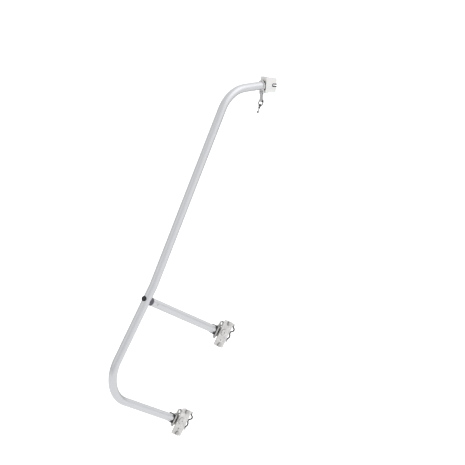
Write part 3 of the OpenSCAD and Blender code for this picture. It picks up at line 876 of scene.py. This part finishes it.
# %% Keeper mesh
KEEPER_R = 2.25
KEEPER_TOP = 36
KNUCKLE_H = 5.5
KEEPER_LEAD = 0.8
HINGE_X = 61.5
HINGE_Y = -18
WAVES = ((12, 65, 5), (6, 40, 7))
DOME = (0.3, 0.7, 1.1, 1.4)


def wave_steps(lead, reach, angle, radius):
    """A wave that leaves the base line by angle, goes out by reach and comes back."""
    a = math.radians(angle)
    flank = (reach - 2 * radius * (1 - math.cos(a))) / math.sin(a)
    return [(lead, angle, 0, radius), (flank, 2 * angle, 180, radius), (flank, angle, 0, radius)]


def wire_skin(stations, radius, count=24):
    """A solid wire with domed ends."""
    rings, run = [], []
    first, last = stations[0], stations[-1]
    dome = [(math.sin(a), 1 - math.cos(a)) for a in DOME]
    for wide, up in dome:
        rise = Matrix.Translation((0, 0, up * radius))
        rings.append(ring_at(first[0] @ rise, circle(wide * radius, count)))
        run.append(up * radius * MM)
    for station, distance in stations[1:-1]:
        rings.append(ring_at(station, circle(radius, count)))
        run.append(distance * MM)
    for wide, up in reversed(dome):
        fall = Matrix.Translation((0, 0, -up * radius))
        rings.append(ring_at(last[0] @ fall, circle(wide * radius, count)))
        run.append((last[1] - up * radius) * MM)
    return skin(rings, run, 2 * math.pi * radius * MM)


KEEPER_RUN = (wave_steps(KNUCKLE_H + KEEPER_LEAD, *WAVES[0]) + wave_steps(0, *WAVES[1])
              + [(KNUCKLE_H + KEEPER_LEAD, 0, 0, 1)])
hinge = Matrix.Translation((HINGE_X, HINGE_Y, KEEPER_TOP + KNUCKLE_H))
downward = hinge @ Matrix.Rotation(math.radians(180), 4, "Y") @ Matrix.Scale(-1, 4, (1, 0, 0))
keeper_walk = walk(KEEPER_RUN, downward)
for side, place_of_side in sides.items():
    made = wire_skin(filled(keeper_walk, 4), KEEPER_R)
    made.transform(place_of_side)
    bmesh.ops.recalc_face_normals(made, faces=made.faces)
    piece(f"dipped_{side}_keeper", made, f"{side}_keeper", "black_coated", [f"{side}_keeper"])
print("keeper wire", round(keeper_walk[-1][1], 1), "mm long")

# %% [markdown]
# ## The tether
# A webbing strap is folded round the hanger's bar and round the D-ring's straight bar, and its two
# plies are sewn together in between. The fold is one closed path with teardrop ends, and the strap
# is a rounded strip swept along it. The ring is wire, bent round and welded, so its walk closes.

# %% Tether frames
STRAP_W = 12
STRAP_L = 20
WEB_T = 1.3
STRIP_CORNER = 0.45
LOOP_R = 2.9
PIN_SWING = 24
strap_axis = Vector(joints["strap_swing"]["axis"]).normalized()
plumb = Vector((0, 0, 1))
hang = frame_of(Vector(joints["strap_swing"]["pos_m"]), strap_axis.cross(plumb), strap_axis, plumb)
ring_drop = STRAP_L + 2 * LOOP_R
swung = Matrix.Rotation(math.radians(PIN_SWING), 4, "Y")
ring_frame = hang @ Matrix.Translation((0, 0, -ring_drop)) @ swung
miss = (ring_frame.translation - Vector(joints["ring_swing"]["pos_m"])).length
print("ring pivot is", round(miss / MM, 3), "mm from its joint")

# %% [markdown]
# ### Fold
# The fold is drawn as one quarter and mirrored twice. Bends of fixed radius would look stiff, so a
# smooth curve goes through given points: two plies that touch, and a teardrop at each end.

# %% Strap path


def rounded_path(points, steps=6):
    """A smooth closed path through the points (Catmull-Rom)."""
    path = []
    count = len(points)
    for i in range(count):
        p0, p1, p2, p3 = (Vector(points[(i + j - 1) % count]) for j in range(4))
        for k in range(steps):
            t = k / steps
            path.append(0.5 * (2 * p1 + (p2 - p0) * t + (2 * p0 - 5 * p1 + 4 * p2 - p3) * t * t
                               + (3 * p1 - p0 - 3 * p2 + p3) * t ** 3))
    return path


ply = WEB_T / 2 + 0.02  # the plies' middle surfaces, a hair apart
loop_mid = LOOP_R + WEB_T / 2
middle = -ring_drop / 2
half_loop = [(ply, middle), (ply, middle + 4), (ply + 0.1, -6.4), (1.75, -4.6), (2.95, -2.6),
             (loop_mid - 0.05, -0.3), (2.75, 2.2)]
upper_left = [(-x, z) for x, z in reversed(half_loop[1:])]
lower_left = [(-x, 2 * middle - z) for x, z in half_loop]
lower_right = [(x, 2 * middle - z) for x, z in reversed(half_loop[1:])]
fold = (half_loop + [(0, loop_mid)] + upper_left
        + lower_left + [(0, 2 * middle - loop_mid)] + lower_right)
path = rounded_path(fold)
print("fold:", len(fold), "points, rounded to", len(path))


def strip_section(width, thick, corner):
    """Half-round edges and flat faces, counter-clockwise."""
    points = []
    for sx, sy, turn in ((1, 1, 0), (-1, 1, 90), (-1, -1, 180), (1, -1, 270)):
        for step in (10, 45, 80):
            a = math.radians(turn + step)
            points.append((sx * (thick / 2 - corner) + corner * math.cos(a),
                           sy * (width / 2 - corner) + corner * math.sin(a)))
    return points


def strap_skin():
    """The strip swept along the closed fold, and the length of webbing in it."""
    section = strip_section(STRAP_W, WEB_T, STRIP_CORNER)
    rings, run, length = [], [], 0.0
    for i, here in enumerate(path):
        ahead, behind = path[(i + 1) % len(path)], path[i - 1]
        along = (ahead - behind).normalized()
        out = Vector((along[1], -along[0]))
        rings.append([Vector((here[0] + out[0] * x, y, here[1] + out[1] * x)) for x, y in section])
        run.append(length)
        length += (ahead - here).length
    strap = skin(rings, run + [length], 2 * (STRAP_W + WEB_T), closed=True)
    return strap, length


# %% [markdown]
# ### Strap
# Folded webbing is a strip with soft edges. The strip's section is swept along the fold with its
# flat side square to it, and the distance along goes into the UV map for the weave.

# %% Strap
made, strap_length = strap_skin()
made.transform(hang)
bmesh.ops.recalc_face_normals(made, faces=made.faces)
piece("woven_strap", made, "strap", "webbing", ["strap"], sharp=70)

# %% [markdown]
# ### Stitching
# A box with a cross in it is the usual way to sew a loop shut. Bump alone would look printed, so
# every stitch is a short thread of its own that rises from the webbing and dives back in.

# %% Stitches
STITCH = 1.9
STITCH_R = 0.24
STITCH_RISE = 0.16
STITCH_SINK = 0.10
BOX_INSET = 1.8
BOX_HALF = 5


def stitch(start, end, face_x):
    """One stitch on a face of the strap: a thread that rises and dives back in at both ends."""
    thread, count = [], 6
    for i in range(count + 1):
        t = i / count
        rise = face_x + math.copysign(STITCH_RISE * math.sin(math.pi * t) - STITCH_SINK, face_x)
        y, z = (a + (b - a) * (0.08 + 0.84 * t) for a, b in zip(start, end))
        thread.append(Vector((rise, y, z)))
    heading = (thread[-1] - thread[0]).normalized()
    out = Vector((1, 0, 0))
    side = heading.cross(out)
    rings = [[p + out * x + side * y for x, y in circle(STITCH_R, 8)] for p in thread]
    return skin(rings, [0.0] * len(rings))


def box_stitch():
    """The sewn box and its cross, as runs of stitches on both faces."""
    half = STRAP_W / 2 - BOX_INSET
    bottom, head = middle - BOX_HALF, middle + BOX_HALF
    corners = [(-half, bottom), (half, bottom), (half, head), (-half, head)]
    seams = [(corners[i], corners[(i + 1) % 4]) for i in range(4)]
    seams += [(corners[0], corners[2]), (corners[1], corners[3])]
    stitches = []
    for start, end in seams:
        start, end = Vector(start), Vector(end)
        count = round((end - start).length / STITCH)
        for i in range(count):
            ends = (start.lerp(end, i / count), start.lerp(end, (i + 1) / count))
            for face_x in (ply + WEB_T / 2, -ply - WEB_T / 2):
                stitches.append((stitch(*ends, face_x), hang, 0))
    return stitches


stitches = box_stitch()
piece("strap_stitching", joined(*stitches), "strap", "webbing", looks=["thread"])
print("strap", round(strap_length, 1), "mm of webbing,", len(stitches), "stitches")

# %% [markdown]
# ### D-ring
# The ring is one wire: a straight bar that the strap hangs it by, two short sides and a half
# circle. It could be a torus with a flattened side, but a walk round it keeps the wire round
# everywhere.

# %% D-ring
RING_WIRE = 1.5
RING_HALF = 8.5
RING_SIDE = 4.4
RING_TURN = 2.3
ring_run = [(RING_HALF - RING_TURN, 90, 0, RING_TURN), (RING_SIDE, 180, 0, RING_HALF),
            (RING_SIDE, 90, 0, RING_TURN), (RING_HALF - RING_TURN, 0, 0, 1)]
ring_start = Matrix.Rotation(math.radians(-90), 4, "X") @ Matrix.Rotation(math.radians(90), 4, "Z")
stations = walk(ring_run, ring_start)[:-1]
rings = [ring_at(station, circle(RING_WIRE, 24)) for station, distance in stations]
distances = [distance * MM for station, distance in stations] + [stations[-1][1] * MM]
made = skin(rings, distances, 0.01, closed=True)
made.transform(ring_frame)
bmesh.ops.recalc_face_normals(made, faces=made.faces)
piece("dipped_d_ring", made, "ring", "black_coated", ["tether_ring"])

# %% [markdown]
# ### Lock pin
# A quick-release pin has a dipped eye and a ribbed collar, a bare shank with two locking balls,
# and a round dipped nose. It could be cut from one block, but each part of it is round, so the eye
# is a ring with a short straight bore and all the rest is turned on a lathe.

# %% Lock pin mesh
EYE_R = 4.2
EYE_WIRE = 1.5
EYE_HOLE = 2.9
EYE_STEPS = 48
SHANK_L = 14
COLLAR = ((1.6, -5.0), (2.5, -5.1), (2.8, -5.5), (2.8, -8.6), (2.5, -9.0), (1.9, -9.1))
COLLAR_FACETS = 96
RIBS = 16
RIB_DEPTH = 0.14
RIBBED_FROM = 2.7
BALL_R = 0.9
BALL_OUT = 1.5
BALL_Z = -15.5
ring_height = RING_TURN + RING_SIDE + RING_HALF
pin_frame = ring_frame @ Matrix.Translation((0, 0, -ring_height))


def eye_skin():
    """A round wire turned into a ring, with the inside of the ring cut straight."""
    section = [(max(EYE_R + x, EYE_HOLE), y) for x, y in circle(EYE_WIRE, 24)]
    rings = []
    for i in range(EYE_STEPS):
        turn = Matrix.Rotation(math.radians(i * 360 / EYE_STEPS), 4, "Y")
        rings.append([turn @ Vector((x, y, 0)) for x, y in section])
    return skin(rings, [i * MM / 2 for i in range(EYE_STEPS + 1)], closed=True)


def knurled_collar():
    """A collar with fine ribs round it, for the fingers."""
    rings = []
    for r, z in COLLAR:
        ring, rib = [], RIB_DEPTH if r > RIBBED_FROM else 0.0
        for j in range(COLLAR_FACETS):
            a = 2 * math.pi * j / COLLAR_FACETS
            wide = r + rib * math.cos(RIBS * a)
            ring.append(Vector((wide * math.cos(a), wide * math.sin(a), z)))
        rings.append(ring)
    return skin(rings, [0.0] * len(rings))


def ball(radius, centre):
    """A locking ball, without the two points that a lathe would leave."""
    angles = [math.radians(a) for a in range(174, 5, -12)]
    made = lathe([(radius * math.sin(a), radius * math.cos(a)) for a in angles], 24)
    made.transform(Matrix.Translation(centre))
    return made


shank_end = -EYE_R - SHANK_L
shank = lathe([(1.9, shank_end + 0.02), (2.0, shank_end + 0.4), (2.0, -12.4), (1.6, -12.1),
               (1.6, -11.3), (2.0, -11.0), (2.0, -8.9)])
made = joined((eye_skin(), pin_frame, 0), (knurled_collar(), pin_frame, 0), (shank, pin_frame, 1),
              (ball(BALL_R, (BALL_OUT, 0, BALL_Z)), pin_frame, 1),
              (ball(BALL_R, (-BALL_OUT, 0, BALL_Z)), pin_frame, 1))
bmesh.ops.recalc_face_normals(made, faces=made.faces)
piece("quick_release_pin", made, "lock_pin", "black_coated", ["lock_pin"],
      ["black_coated", "zinc"])
NOSE = [(1.2, -5.78), (2.2, -5.15), (2.9, -4.1), (3.18, -2.9),
        (3.15, -2.0), (2.8, -0.9), (2.3, -0.25), (2.0, -0.02)]
made = lathe([(r, shank_end + z) for r, z in NOSE])
made.transform(pin_frame)
bmesh.ops.recalc_face_normals(made, faces=made.faces)
piece("dipped_pin_nose", made, "lock_pin", "black_coated", ["lock_pin_tip"])

# %% [markdown]
# ## Finishes for the engineering parts
# The other parts keep their engineering meshes. Their sharp edges are the giveaway of a model, so
# each gets a Weld, which joins the importer's split corners, and a small Bevel on every edge above
# 35 degrees. Neither changes the mesh itself.

# %% Dress the engineering parts
EDGE = {"end_block": 0.8, "rod_clip": 0.25, "outer_cheek": 0.35,
        "yoke": 0.4, "carrier": 0.5, "top_plug": 0.4}
PLAIN_EDGE = 0.2
SHARP = 35
record_slot = {part["node"]: part["material_slot"] for part in frame["record"]["subparts"]}


def dress(name, thing):
    """Finish and softened edges for an engineering node that stays."""
    edge = next((width for part, width in EDGE.items() if name.endswith(part)), PLAIN_EDGE)
    thing.data.materials.clear()
    thing.data.materials.append(finishes[record_slot[name]])
    weld = thing.modifiers.new("weld", "WELD")
    weld.merge_threshold = 0.00001
    soft = thing.modifiers.new("soft edges", "BEVEL")
    soft.width = edge * MM
    soft.segments = 2
    soft.limit_method = "ANGLE"
    soft.angle_limit = math.radians(SHARP)
    shading = thing.modifiers.new("even shading", "WEIGHTED_NORMAL")
    shading.weight = 80


shown = [name for name, thing in nodes.items() if not thing.hide_render]
for name in shown:
    dress(name, nodes[name])
print("dressed", len(shown), "engineering parts, replaced", len(nodes) - len(shown))

# %% [markdown]
# ## Floor
# The floor is plain and pale and well below the part, so that shadows on it are faint. It could be
# lit from above alone, but a glow of its own keeps it even. The glow is weaker far behind the
# part, which gives the bright tubes the darker rims that make them read as round.

# %% Floor
low, high = cad_box
FLOOR_DROP = 0.6
FLOOR_HALF = 14
GLOW_NEAR, GLOW_FAR = 0.42, 0.02
GLOW_FROM, GLOW_TO = 0.5, 1.7
floor_mesh = bpy.data.meshes.new("floor")
ground = bmesh.new()
bmesh.ops.create_grid(ground, x_segments=8, y_segments=8, size=FLOOR_HALF)
ground.to_mesh(floor_mesh)
ground.free()
floor = link(bpy.data.objects.new("floor", floor_mesh))
floor.location = (0, 0, low.z - FLOOR_DROP)
pale, boards, pale_shader = new_finish("pale_floor", Roughness=0.9, Emission_Strength=1.0)
beyond = Vector((-to_camera.x, -to_camera.y, 0)).normalized()
spot = add(boards, "TexCoord").outputs["Object"]
behind = add(boards, "VectorMath", {0: spot, 1: tuple(beyond)}, operation="DOT_PRODUCT")
glow = spread(boards, behind.outputs["Value"], GLOW_NEAR, GLOW_FAR, GLOW_FROM, GLOW_TO)
lit = add(boards, "LightPath").outputs["Is Camera Ray"]
lift = blend_of(boards, lit, glow, shade(0.95, 0.95, 0.95))
boards.links.new(lift, pale_shader.inputs["Emission Color"])
speckle = placed(boards, handling, {"Scale": 1.5, "Contrast": 0.2})
paint = blend_of(boards, speckle["Tone"], shade(0.52, 0.52, 0.52), shade(0.58, 0.58, 0.58))
boards.links.new(paint, pale_shader.inputs["Base Color"])
floor.data.materials.append(pale)
print("floor", 2 * FLOOR_HALF, "m across,", FLOOR_DROP, "m below the part")

# %% [markdown]
# ### Light
# Round bright metal shows whatever is round it. A plain grey world would leave the tubes flat, so
# the world is darker on the left than on the right. Two large panels, far away for their size, add
# the soft highlights. The camera itself sees the world as plain white.

# %% Light
SKY_LEFT, SKY_RIGHT = 0.62, 0.95
KEY_POWER, FILL_POWER = 6, 4
world = bpy.data.worlds.new("studio")
bpy.context.scene.world = world
world.use_nodes = True
sky = world.node_tree
backdrop = sky.nodes["Background"]
toward = add(sky, "TexCoord").outputs["Generated"]
light_side = (view_right * 0.8 + view_up * 0.25 - to_camera * 0.2).normalized()
turned = add(sky, "VectorMath", {0: toward, 1: tuple(light_side)}, operation="DOT_PRODUCT")
gradient = spread(sky, turned.outputs["Value"], SKY_LEFT, SKY_RIGHT, -0.8, 0.8)
seen = add(sky, "LightPath").outputs["Is Camera Ray"]
sky.links.new(blend_of(sky, seen, gradient, shade(1, 1, 1)), backdrop.inputs["Color"])


def panel(name, direction, distance, size, power):
    """A soft square light that faces the part."""
    data = bpy.data.lights.new(name, "AREA")
    data.shape = "SQUARE"
    data.size = size
    data.energy = power
    lamp = link(bpy.data.objects.new(name, data))
    middle_of_part = (low + high) / 2
    lamp.location = middle_of_part + direction.normalized() * distance
    lamp.rotation_mode = "QUATERNION"
    lamp.rotation_quaternion = (-direction).to_track_quat("-Z", "Y")


panel("key", view_right * 1.2 + view_up * 1.3 + to_camera * 0.7, 2.6, 2.2, KEY_POWER)
panel("fill", -view_right * 1.3 + view_up * 0.5 + to_camera * 0.9, 3.0, 2.6, FILL_POWER)
bpy.context.scene.view_settings.view_transform = "Standard"

# %% [markdown]
# ## Sizes
# The looks must not change the size of the part. The engineering model's size is printed.

# %% Sizes, and finish
print("part", [round(v, 4) for v in high - low])
